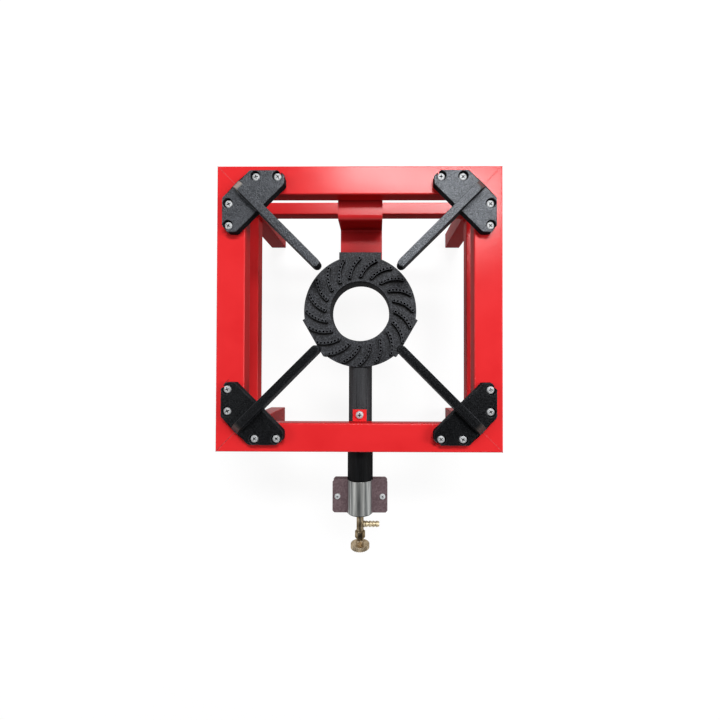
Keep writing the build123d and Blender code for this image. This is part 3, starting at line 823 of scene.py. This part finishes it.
dress_node("burner_body", tube_iron(), body_edge_round, body_sharp)

# Burner cap: cast ring that closes the trough, with twenty curved ribs like a turbine's.
# Each rib stands proud of the ring and is drilled with a row of seven gas ports.
# The ribs have rounded shoulders from the mould and drawn-in ends; a painted shadow lies on the
# ground in front of each.
cap_bore_radius = 43.75 * mm
cap_ring_radius = 82.5 * mm
cap_lug_half_width = 31 * mm
cap_lugs = [(90, 87 * mm), (210, 80 * mm), (330, 80 * mm)]
cap_arc_steps = 24
cap_edge_round = 0.9 * mm
cap_bevel_sharp = math.radians(70)
cap_shade_sharp = math.radians(40)
cap_fleck_tone = 0.078
cap_shaded_side_tones = (0.008, 0.024)
# Pale edge tone: partly rubbed iron, partly a painted highlight.
cap_edge_tone = 0.12
cap_worn_and_lit_edge = 0.8 * mm
rib_shadow_reach = 7 * mm
rib_shadow_towards = (0.0, 0.85, 0.53)
rib_shadow_black = grey(0.0025)
rib_count = 20
rib_inner = 49.25 * mm
rib_outer = 78.8 * mm
rib_middle_turn = math.radians(7.8)
rib_outer_turn = math.radians(19.0)
rib_height = 4.5 * mm
rib_shoulder = [(2.8, -0.3), (2.7, 0.3), (2.55, 3.5), (2.3, 4.2), (1.6, 4.5), (0.8, 4.5)]
rib_across = [(-w, z) for w, z in rib_shoulder] + [(0.0, 4.5)] + rib_shoulder[::-1]
rib_end_steps = (0.0, 0.35 * mm, 0.8 * mm)
rib_end_width = 0.62
rib_pinch_reach = 1.0 * mm
rib_end_dip = 0.45
rib_dip_reach = 0.5 * mm
port_count = 7
port_radius = 1.4 * mm
port_sides = 16
port_margin = 0.08
port_patch = 1.6 * mm
port_first_column = 4
port_last_column = 8
port_wells = [(rib_height, 1.08), (rib_height - 0.2 * mm, 1.0), (0.25 * mm, 1.0)]
cap_low, cap_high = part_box("burner_cap")
cap_seat = cap_low.z
plate_top = cap_high.z - rib_height


def burner_cast_iron():
    """Dull black casting: sandy speckle, pale edges partly rubbed and partly a painted highlight,
    steep faces in painted shade, and a painted shadow where a rib shelters the ground.
    """
    iron = new_finish("burner_cast_iron")
    where = iron.places()
    sand = iron.grain(where, per_metre=620, detail=3, rough=0.6)
    clouds = iron.grain(where, per_metre=45, detail=3)
    grains = cells(iron, where, per_metre=480)
    level = facing_up(iron)
    ground = iron.ramp(clouds, [(0.3, iron_grey(0.014)), (0.7, iron_grey(0.022))])
    flecks = iron.ramp(sand, [(0.46, grey(0.0)), (0.62, grey(1.0))])
    # Steep faces take their own tones: painted shade set by slope.
    skin = flecked_skin(iron, level, flecks, ground, cap_fleck_tone, cap_shaded_side_tones)
    # Pale edges: partly rubbed iron, partly a painted highlight along the rib shoulders and rims.
    edges = iron.edge_share(cap_worn_and_lit_edge)
    skin = iron.blend(edges, skin, iron_grey(cap_edge_tone))
    # A painted shadow: the ground goes near black where a rib stands between it and the back light.
    backward = iron.nodes.new("ShaderNodeCombineXYZ")
    for socket, share in zip(backward.inputs, rib_shadow_towards):
        iron.join(share, socket)
    unshaded_ground = iron.openness(rib_shadow_reach, backward.outputs["Vector"])
    painted_shade = iron.ramp(unshaded_ground, [(0.46, grey(1.0)), (0.70, grey(0.0))])
    iron.put("Base Color", iron.blend(painted_shade, skin, rib_shadow_black))
    iron.put("Roughness", iron.spread(sand, 0.45, 0.65))
    iron.put("Specular IOR Level", iron.spread(level, 0.003, 0.22))
    iron.bumps((grains["Distance"], 0.25 * mm), (sand, 0.15 * mm))
    return iron.owner


def port_soot_and_shade():
    """Soot and shade inside the drilled gas ports."""
    dark_well_finish = new_finish("port_soot_and_shade")
    crumbs = dark_well_finish.grain(dark_well_finish.places(), per_metre=1500, detail=3)
    dark_well_finish.put("Base Color", dark_well_finish.ramp(crumbs, [(0.4, grey(0.001)), (0.8, grey(0.006))]))
    dark_well_finish.put("Roughness", dark_well_finish.spread(crumbs, 0.85, 1.0))
    dark_well_finish.put("Specular IOR Level", 0.0)
    dark_well_finish.bumps((crumbs, 0.1 * mm))
    return dark_well_finish.owner


def arc_through(a, b, c):
    """Centre, radius, first angle and swept angle of the arc from a through b to c."""
    d = 2 * (a.x * (b.y - c.y) + b.x * (c.y - a.y) + c.x * (a.y - b.y))
    aa, bb, cc = a.length_squared, b.length_squared, c.length_squared
    x = (aa * (b.y - c.y) + bb * (c.y - a.y) + cc * (a.y - b.y)) / d
    y = (aa * (c.x - b.x) + bb * (a.x - c.x) + cc * (b.x - a.x)) / d
    centre = Vector((x, y))
    start = math.atan2(a.y - y, a.x - x)
    end = math.atan2(c.y - y, c.x - x)
    sweep = (end - start + math.pi) % (2 * math.pi) - math.pi
    return centre, (a - centre).length, start, sweep


def polar(radius, turn):
    return Vector((radius * math.cos(turn), radius * math.sin(turn)))


def cap_outline():
    """Points round the ring and its three flat-faced lugs, counter-clockwise."""
    points = []
    root = math.sqrt(cap_ring_radius**2 - cap_lug_half_width**2)
    half_turn = math.atan2(cap_lug_half_width, root)
    next_angles = [angle for angle, reach in cap_lugs[1:]] + [cap_lugs[0][0] + 360]
    for (angle, reach), next_angle in zip(cap_lugs, next_angles):
        ahead = polar(1, math.radians(angle))
        aside = Vector((-ahead.y, ahead.x)) * cap_lug_half_width
        points.append(ahead * root - aside)
        for share in (-1, -0.5, 0, 0.5, 1):
            points.append(ahead * reach + aside * share)
        points.append(ahead * root + aside)
        first = math.radians(angle) + half_turn
        last = math.radians(next_angle) - half_turn
        for step in range(1, cap_arc_steps):
            points.append(polar(cap_ring_radius, first + (last - first) * step / cap_arc_steps))
    return points


def cap_plate(maker):
    """The flat ring: outline and bore, at the seat and at the top."""
    outline = cap_outline()
    bore = [p.normalized() * cap_bore_radius for p in outline]
    rows = []
    for z in (cap_seat, plate_top):
        for edge in (outline, bore):
            rows.append([maker.verts.new(stand_middle + Vector((p.x, p.y, z))) for p in edge])
    low_outer, low_inner, top_outer, top_inner = rows
    for k in range(len(outline)):
        m = (k + 1) % len(outline)
        maker.faces.new((top_inner[k], top_outer[k], top_outer[m], top_inner[m]))
        maker.faces.new((low_outer[k], low_inner[k], low_inner[m], low_outer[m]))
        maker.faces.new((low_outer[k], low_outer[m], top_outer[m], top_outer[k]))
        maker.faces.new((low_inner[m], low_inner[k], top_inner[k], top_inner[m]))


rib_ends = (polar(rib_inner, 0), polar(rib_outer, -rib_outer_turn))
rib_bend = polar((rib_inner + rib_outer) / 2, -rib_middle_turn)
rib_centre, rib_radius, rib_start, rib_sweep = arc_through(rib_ends[0], rib_bend, rib_ends[1])
rib_length = abs(rib_sweep) * rib_radius
port_step = (1 - 2 * port_margin) / (port_count - 1)
rib_ports = [rib_length * (port_margin + k * port_step) for k in range(port_count)]
rib_stations = [s + port_patch * share for s in rib_ports for share in (-1, -0.5, 0, 0.5, 1)]
rib_stations += list(rib_end_steps) + [rib_length - step for step in rib_end_steps]
rib_stations.sort()


def rib_spot(turn, along, out, height):
    """A place on a rib: so far along its arc, out from its middle line and above the ring."""
    angle = rib_start + rib_sweep * along / rib_length
    flat = Matrix.Rotation(turn, 2) @ (rib_centre + polar(rib_radius + out, angle))
    return stand_middle + Vector((flat.x, flat.y, plate_top + height))


def port_well(maker, turn, along, rim):
    """Lets a round well into a rib, inside the square rim of points round the port; its mouth, walls
    and floor take the port finish of soot and painted shade.
    """
    rings = []
    for height, size in port_wells:
        reach = port_radius * size
        ring = []
        for k in range(port_sides):
            around = math.radians(k * 360 / port_sides - 135)
            spot = rib_spot(turn, along + reach * math.sin(around), reach * math.cos(around), height)
            ring.append(maker.verts.new(spot))
        rings.append(ring)
    mouth = rings[0]
    nearest = min(range(port_sides), key=lambda k: (mouth[k].co - rim[0].co).length)
    after = mouth[(nearest + 1) % port_sides]
    before = mouth[nearest - 1]
    way = 1 if (after.co - rim[1].co).length < (before.co - rim[1].co).length else -1
    order = [(nearest + way * k) % port_sides for k in range(port_sides)]
    rings = [[ring[k] for k in order] for ring in rings]
    # Mouth ring, walls and floor of each port: soot and painted shade.
    dark_well_faces = []
    for k in range(port_sides):
        m = (k + 1) % port_sides
        maker.faces.new((rim[k], rim[m], rings[0][m], rings[0][k]))
        for upper, lower in zip(rings, rings[1:]):
            dark_well_faces.append(maker.faces.new((upper[k], upper[m], lower[m], lower[k])))
    dark_well_faces.append(maker.faces.new(rings[-1]))
    for face in dark_well_faces:
        face.material_index = 1


def cap_rib(maker, turn):
    """One rib: a grid along the arc, drawn in at its ends, with a well let into it at each port."""
    grid = []
    for s in rib_stations:
        end = min(s, rib_length - s)
        pinch = rib_end_width + (1 - rib_end_width) * min(1.0, end / rib_pinch_reach)
        dip = 1.0 - rib_end_dip * max(0.0, 1 - end / rib_dip_reach) ** 2
        row = []
        for w, z in rib_across:
            spot = rib_spot(turn, s, w * mm * pinch, z * mm * (dip if z > 0 else 1))
            row.append(maker.verts.new(spot))
        grid.append(row)
    first, last = port_first_column, port_last_column
    patches = set()
    for s in rib_ports:
        row = min(range(len(rib_stations)), key=lambda i: abs(rib_stations[i] - s))
        low, high = row - 2, row + 2
        patches.update((i, j) for i in range(low, high) for j in range(first, last))
        rim = [grid[low][j] for j in range(first, last)]
        rim += [grid[i][last] for i in range(low, high)]
        rim += [grid[high][j] for j in range(last, first, -1)]
        rim += [grid[i][first] for i in range(high, low, -1)]
        port_well(maker, turn, s, rim)
    for i in range(len(grid) - 1):
        for j in range(len(rib_across) - 1):
            if (i, j) not in patches:
                maker.faces.new((grid[i][j], grid[i][j + 1], grid[i + 1][j + 1], grid[i + 1][j]))
    maker.faces.new(grid[0])
    maker.faces.new(list(reversed(grid[-1])))
    for vert in [v for v in maker.verts if not v.link_faces]:
        maker.verts.remove(vert)


cap_maker = bmesh.new()
cap_plate(cap_maker)
for k in range(rib_count):
    cap_rib(cap_maker, 2 * math.pi * k / rib_count)
bmesh.ops.recalc_face_normals(cap_maker, faces=cap_maker.faces)
burner_cap = stand_piece("burner_cap_casting", cap_maker, burner_cast_iron(), "stand")
burner_cap.data.materials.append(port_soot_and_shade())
burner_cap.data.set_sharp_from_angle(angle=cap_shade_sharp)
cap_bevel = burner_cap.modifiers.new("rounded_edges", "BEVEL")
cap_bevel.width = cap_edge_round
cap_bevel.segments = 3
cap_bevel.limit_method = "ANGLE"
cap_bevel.angle_limit = cap_bevel_sharp
cap_bevel.use_clamp_overlap = True
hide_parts("burner_cap")

# Air shutter: two half shells of galvanised sheet clamped round the mouth of the mixing tube.
# Ears stick out on both sides; two small screws with nuts pull the halves together.
# The zinc has a soft spangle, with long marks from the rolling of the sheet.
sheet_edge_round = 0.25 * mm
nut_edge_round = 0.3 * mm
shell_round_half = 16.5 * mm
shell_bend = 1.5 * mm
rolling_stretch = (1.0, 0.03, 1.0)
ear_dull = (0.115, 0.076, 0.084, 1)
ear_pale = (0.175, 0.122, 0.132, 1)
shell_dark = (0.08, 0.085, 0.085, 1)
shell_grey = (0.29, 0.30, 0.295, 1)
shell_pale = (0.62, 0.63, 0.61, 1)
ear_screw_head_radius = 4.25 * mm
ear_screw_head_height = 3.0 * mm
ear_screw_shank_radius = 2.0 * mm
ear_screw_cross = (2.0 * mm, 0.75 * mm, 1.6 * mm)


def galvanised_sheet():
    """Zinc-coated sheet: dull and brownish on the flat ears, drawn bright where it is bent round."""
    sheet = new_finish("galvanised_sheet")
    where = sheet.places()
    spangle = cells(sheet, where, per_metre=420)
    marks = sheet.grain(sheet.places(rolling_stretch), per_metre=210, detail=3, rough=0.6)
    specks = sheet.grain(where, per_metre=900, detail=3)
    ears = sheet.ramp(spangle["Color"], [(0.2, ear_dull), (0.8, ear_pale)])
    shell = sheet.ramp(marks, [(0.36, shell_dark), (0.50, shell_grey), (0.66, shell_pale)])
    aside = maths(sheet, "ABSOLUTE", parts_of(sheet, where)["X"])
    flat_share = sheet.between(aside, shell_round_half, shell_round_half + shell_bend)
    sheet.put("Base Color", sheet.blend(flat_share, shell, ears))
    sheet.put("Metallic", sheet.spread(flat_share, 0.6, 0.15))
    sheet.put("Roughness", sheet.spread(flat_share, 0.32, 0.48))
    sheet.put("Specular IOR Level", sheet.spread(flat_share, 0.5, 0.25))
    sheet.bumps((marks, 0.05 * mm), (specks, 0.03 * mm))
    return sheet.owner


sheet_zinc = galvanised_sheet()
for shell_name in ("air_shutter_upper", "air_shutter_lower"):
    dress_node(shell_name, sheet_zinc, sheet_edge_round)
dress_node("air_shutter_nuts", zinc, nut_edge_round)
ear_low, ear_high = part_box("air_shutter_screws")
ear_seat = ear_high.z - ear_screw_head_height
ear_screw_y = (ear_low.y + ear_high.y) / 2
ear_screw_x = (ear_low.x + ear_screw_head_radius, ear_high.x - ear_screw_head_radius)
ear_places = [Vector((x, ear_screw_y, ear_seat)) for x in ear_screw_x]
ear_shank = (ear_screw_shank_radius, ear_seat - ear_low.z)
ear_screw = pan_head_screw(ear_screw_head_radius, ear_screw_head_height, *ear_shank, ear_screw_cross)
set_screws("shutter_screws", ear_screw, ear_places, "air_shutter_screws", "air_shutter")

# Gas valve: brass barrel screwed into the end of the tube, closed by a hexagonal gland nut.
# Brass is turned from bar, so it shows fine rings; it has browned and dulled in use.
brass_edge_round = 0.35 * mm
brass_sharp = 40
brass_dark = (0.085, 0.062, 0.039, 1)
brass_middle = (0.22, 0.172, 0.110, 1)
brass_pale = (0.46, 0.385, 0.275, 1)
brass_smooth = 0.30
brass_rim_tint = (0.55, 0.46, 0.34, 1)
turning_stretch = (0.05, 1.0, 0.05)


def turned_brass(name, dark, middle, pale, smooth):
    brass = new_finish(name)
    turning = brass.grain(brass.places(turning_stretch), per_metre=2200, detail=2)
    clouds = brass.grain(brass.places(), per_metre=130, detail=5)
    brass.put("Base Color", brass.ramp(clouds, [(0.3, dark), (0.52, middle), (0.75, pale)]))
    brass.put("Metallic", 1.0)
    brass.put("Specular Tint", brass_rim_tint)
    brass.put("Roughness", brass.spread(clouds, smooth, smooth + 0.18))
    brass.bumps((turning, 0.03 * mm))
    return brass.owner


valve_brass = turned_brass("turned_brass", brass_dark, brass_middle, brass_pale, brass_smooth)
for valve_name in ("valve_body", "gland_nut", "gas_jet", "valve_spindle"):
    dress_node(valve_name, valve_brass, brass_edge_round, brass_sharp)

# Spindle seal: a moulded ring of black rubber with a faint grey bloom.
# It is pushed into the spindle's groove and keeps the gas in behind the gland nut.
seal_edge_round = 0.15 * mm


def seal_rubber():
    rubber = new_finish("black_seal_rubber")
    bloom = rubber.grain(rubber.places(), per_metre=500)
    rubber.put("Base Color", rubber.ramp(bloom, [(0.4, grey(0.01)), (0.8, grey(0.03))]))
    rubber.put("Roughness", rubber.spread(bloom, 0.6, 0.8))
    rubber.bumps((bloom, 0.03 * mm))
    return rubber.owner


dress_node("spindle_seal", seal_rubber(), seal_edge_round)

# Hose barb: brass nipple screwed into the side of the valve; the hose is pushed over its ridges.
# Turned from bar: four smooth cones with sharp backs behind a plain collar.
barb_low, barb_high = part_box("hose_barb")
barb_axis = Vector((0, (barb_low.y + barb_high.y) / 2, (barb_low.z + barb_high.z) / 2))
barb_bore_radius = 1.8 * mm
barb_thread_radius = 2.95 * mm
barb_collar_radius = 4.5 * mm
barb_neck_radius = 3.4 * mm
barb_ridge_radius = 4.5 * mm
barb_collar_start = 5.3 * mm
barb_ridge_start = 8.3 * mm
barb_ridge_count = 4
barb_sides = 36
barb_sharp = math.radians(50)
barb_smooth = 0.42
barb_dark = (0.36, 0.29, 0.175, 1)
barb_middle = (0.56, 0.475, 0.32, 1)
barb_pale = (0.78, 0.70, 0.50, 1)
barb_tip = barb_high.x
barb_pitch = (barb_tip - barb_ridge_start) / barb_ridge_count
barb_profile = [
    (barb_low.x, barb_bore_radius),
    (barb_low.x, barb_thread_radius),
    (barb_collar_start, barb_thread_radius),
    (barb_collar_start, barb_collar_radius - 0.4 * mm),
    (barb_collar_start + 0.4 * mm, barb_collar_radius),
    (barb_ridge_start - 0.5 * mm, barb_collar_radius),
    (barb_ridge_start - 0.1 * mm, barb_neck_radius + 0.3 * mm),
]
for k in range(barb_ridge_count):
    foot = barb_ridge_start + k * barb_pitch
    barb_profile += [
        (foot + 0.05 * mm, barb_neck_radius + 0.1 * mm),
        (foot + 0.35 * mm, barb_ridge_radius - 0.35 * mm),
        (foot + 0.75 * mm, barb_ridge_radius),
        (foot + 1.3 * mm, barb_ridge_radius - 0.04 * mm),
        (foot + barb_pitch * 0.72, barb_neck_radius + 0.25 * mm),
        (foot + barb_pitch - 0.05 * mm, barb_neck_radius),
    ]
barb_profile += [
    (barb_tip - 0.02 * mm, barb_neck_radius - 0.1 * mm),
    (barb_tip, barb_bore_radius + 0.2 * mm),
    (barb_tip - 0.4 * mm, barb_bore_radius),
    (barb_low.x, barb_bore_radius),
]
# A paler brass than the valve body's.
barb_brass = turned_brass("paler_brass", barb_dark, barb_middle, barb_pale, barb_smooth)
barb_maker = bmesh.new()
barb_lie = Matrix.Translation(barb_axis) @ Matrix.Rotation(math.pi / 2, 4, "Y")
lathe(barb_maker, barb_profile, barb_sides, barb_lie)
bmesh.ops.remove_doubles(barb_maker, verts=barb_maker.verts, dist=0.001 * mm)
bmesh.ops.recalc_face_normals(barb_maker, faces=barb_maker.faces)
barb = stand_piece("hose_barb_turned", barb_maker, barb_brass, "stand")
barb.data.set_sharp_from_angle(angle=barb_sharp)
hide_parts("hose_barb")

# Knob: a brass disc with a coarse knurled rim on a short hub, turned in one piece.
# It is riveted to the end of the spindle, and is a little paler than the barrel.
knob_edge_round = 0.3 * mm
knob_dark = (0.17, 0.13, 0.086, 1)
knob_middle = (0.42, 0.34, 0.235, 1)
knob_pale = (0.68, 0.585, 0.44, 1)
knob_brass = turned_brass("knob_brass", knob_dark, knob_middle, knob_pale, brass_smooth)
dress_node("knob", knob_brass, knob_edge_round, brass_sharp)

# Studio floor: a plain pale sheet just under the feet, which keeps the stove's soft shadow.
# For the camera it is white, and whitest far out, without more light falling on the stove.
floor_reach = 12.0
floor_drop = 0.3 * mm
floor_tone = grey(0.2)
floor_shadow_tone = grey(0.16)
floor_near = (0.8, 0.88)
floor_far = (3.5, 1.0)


def seen_apart(finish, lit, seen):
    """Shows one surface to falling light, the other to the camera, straight, mirrored or through."""
    rays = finish.nodes.new("ShaderNodeLightPath").outputs
    straight = maths(finish, "MAXIMUM", rays["Is Camera Ray"], rays["Is Glossy Ray"])
    mix = finish.nodes.new("ShaderNodeMixShader")
    finish.join(maths(finish, "MAXIMUM", straight, rays["Is Transmission Ray"]), mix.inputs["Fac"])
    finish.join(lit, mix.inputs[1])
    finish.join(seen, mix.inputs[2])
    out = next(n for n in finish.nodes if n.type in ("OUTPUT_MATERIAL", "OUTPUT_WORLD"))
    finish.join(mix.outputs["Shader"], out.inputs["Surface"])


def pale_floor():
    floor = new_finish("pale_floor")
    floor.put("Base Color", floor_tone)
    floor.put("Roughness", 0.9)
    floor.put("Specular IOR Level", 0.0)
    place = floor.nodes.new("ShaderNodeNewGeometry").outputs["Position"]
    (near, near_white), (far, far_white) = floor_near, floor_far
    white = floor.nodes.new("ShaderNodeEmission")
    strength = floor.between(floor.vector("LENGTH", place), near, far, near_white, far_white)
    floor.join(strength, white.inputs["Strength"])
    shade = floor.nodes.new("ShaderNodeBsdfDiffuse")
    floor.join(floor_shadow_tone, shade.inputs["Color"])
    both = floor.nodes.new("ShaderNodeAddShader")
    floor.join(white.outputs["Emission"], both.inputs[0])
    floor.join(shade.outputs["BSDF"], both.inputs[1])
    seen_apart(floor, floor.shader.outputs["BSDF"], both.outputs["Shader"])
    return floor.owner


floor_maker = bmesh.new()
bmesh.ops.create_grid(floor_maker, x_segments=4, y_segments=4, size=floor_reach)
studio_floor = loose_piece("studio_floor", floor_maker)
studio_floor.data.materials.append(pale_floor())
studio_floor.location.z = -floor_drop

# Studio light: a dim room with white walls and a dark ceiling, one large soft box high above the
# back right of the stove, which the back and right rails mirror, and a smaller soft box on either
# side, the right one stronger.
room_tones = [(0.0, grey(0.20)), (0.5, grey(0.12)), (0.9, grey(0.03))]
wall_tones = [(0.60, grey(1.0)), (0.78, grey(0.03))]
studio_room = Finish(bpy.data.worlds.new("studio_room"))
room_place = studio_room.nodes.new("ShaderNodeTexCoord")
room_height = parts_of(studio_room, room_place.outputs["Generated"])["Z"]
room_light = next(n for n in studio_room.nodes if n.type == "BACKGROUND")
room_walls = studio_room.nodes.new("ShaderNodeBackground")
studio_room.join(studio_room.ramp(room_height, room_tones), room_light.inputs["Color"])
studio_room.join(studio_room.ramp(room_height, wall_tones), room_walls.inputs["Color"])
seen_apart(studio_room, room_light.outputs["Background"], room_walls.outputs["Background"])
bpy.context.scene.world = studio_room.owner


def soft_box(name, place, aim, width, height, watts):
    lamp = bpy.data.lights.new(name, "AREA")
    lamp.shape = "RECTANGLE"
    lamp.size = width
    lamp.size_y = height
    lamp.energy = watts
    holder = bpy.data.objects.new(name, lamp)
    bpy.context.scene.collection.objects.link(holder)
    holder.location = place
    holder.rotation_euler = (Vector(aim) - Vector(place)).to_track_quat("-Z", "Y").to_euler()


back_aim = (0.0, 0.08, 0.2)
side_aim = (0.0, 0.08, 0.15)
soft_box("back_soft_box", (0.50, 1.88, 3.25), back_aim, width=1.9, height=0.62, watts=94)
soft_box("right_soft_box", (2.3, 0.25, 1.95), side_aim, width=1.2, height=1.2, watts=34)
soft_box("left_soft_box", (-2.3, 0.25, 1.95), side_aim, width=1.2, height=1.2, watts=20)

# Camera: a wide lens close above the stove, looking almost straight down.
# It is tilted by under a degree and stands a little to the right of the middle.
camera_data = bpy.data.cameras.new("camera")
camera_data.sensor_width = 36.0
camera_data.lens = 16.905
camera_data.shift_x = -0.0201
camera_data.shift_y = -0.0003
camera_data.clip_start = 0.02
camera = bpy.data.objects.new("camera", camera_data)
camera.location = (0.0243, 0.0005, 0.720)
camera.rotation_euler = (math.radians(0.63), math.radians(0.35), math.radians(0.13))
bpy.context.scene.collection.objects.link(camera)
bpy.context.scene.camera = camera
bpy.context.scene.view_settings.view_transform = "Standard"
